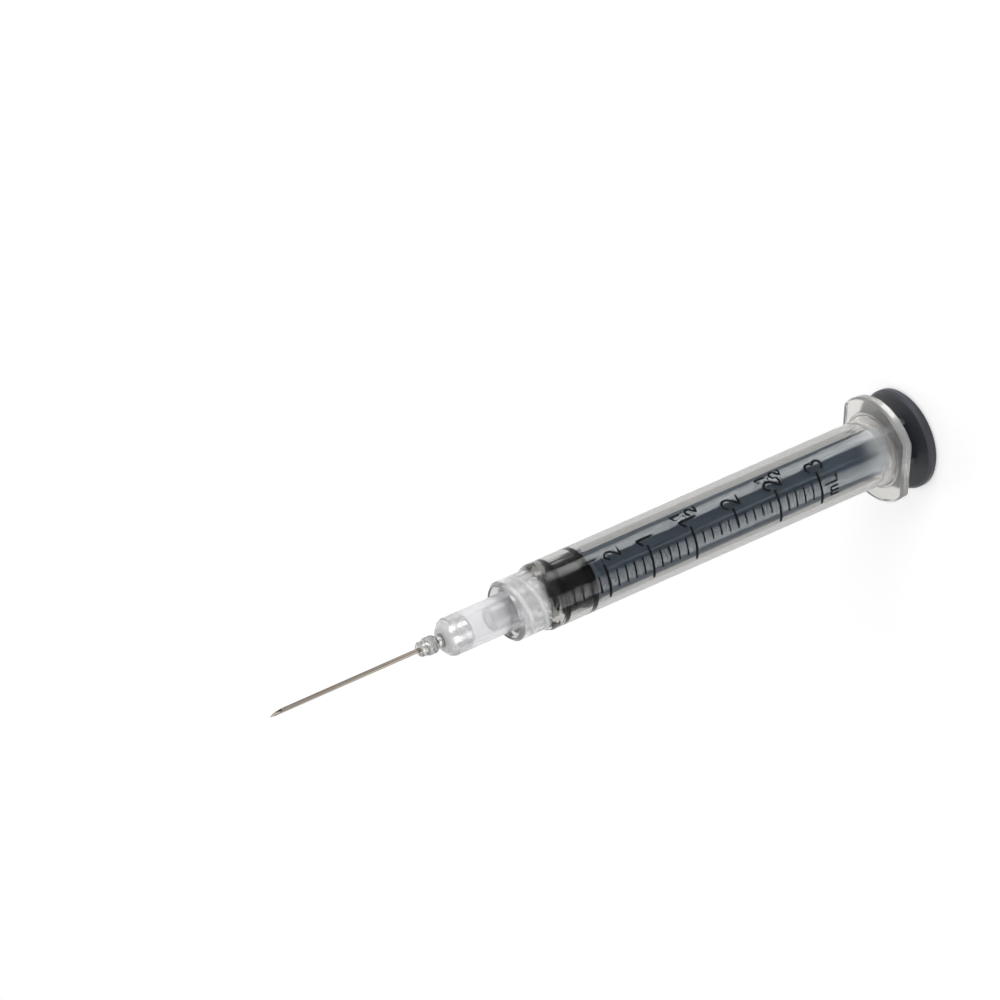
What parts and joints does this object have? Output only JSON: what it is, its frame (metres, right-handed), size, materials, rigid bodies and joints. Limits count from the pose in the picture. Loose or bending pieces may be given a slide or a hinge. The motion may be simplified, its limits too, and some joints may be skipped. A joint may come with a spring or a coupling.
{
  "type": "luer lock syringe",
  "caption": "Clear three millilitre syringe with a threaded locking collar, dark plunger, black stopper and a fitted hypodermic needle.",
  "frame": {"origin": "centre of the thumb rest's flat face, on which the syringe stands", "axes": "+Z along the syringe's axis towards the needle's point; the finger flange's two flats face along Y"},
  "size_m": [0.0174, 0.0162, 0.1164],
  "materials": {
    "barrel": "clear polypropylene with a faint haze",
    "stopper": "black moulded rubber, siliconed",
    "plunger_rod": "dark slate-grey moulded plastic, semi-gloss",
    "needle_hub": "clear to milky polypropylene",
    "ferrule": "bright crimped aluminium",
    "cannula": "drawn and polished stainless steel"
  },
  "bodies": {
    "barrel": {"barrel": "barrel"},
    "stopper": {"stopper": "stopper"},
    "rod": {"plunger_rod": "plunger_rod"},
    "needle": {"needle_hub": "needle_hub", "ferrule": "ferrule", "cannula": "cannula"}
  },
  "joints": [
    {"name": "plunger_slide", "type": "slide", "parent": "barrel", "child": "stopper", "axis": [0, 0, -1], "range_m": [0, 0.053]},
    {"name": "rod_spin", "type": "hinge", "parent": "stopper", "child": "rod", "pos_m": [0, 0, 0.0619], "axis": [0, 0, 1], "continuous": true},
    {"name": "needle_draw", "type": "slide", "parent": "barrel", "child": "needle", "axis": [0, 0, 1], "range_m": [0, 0.012]}
  ]
}
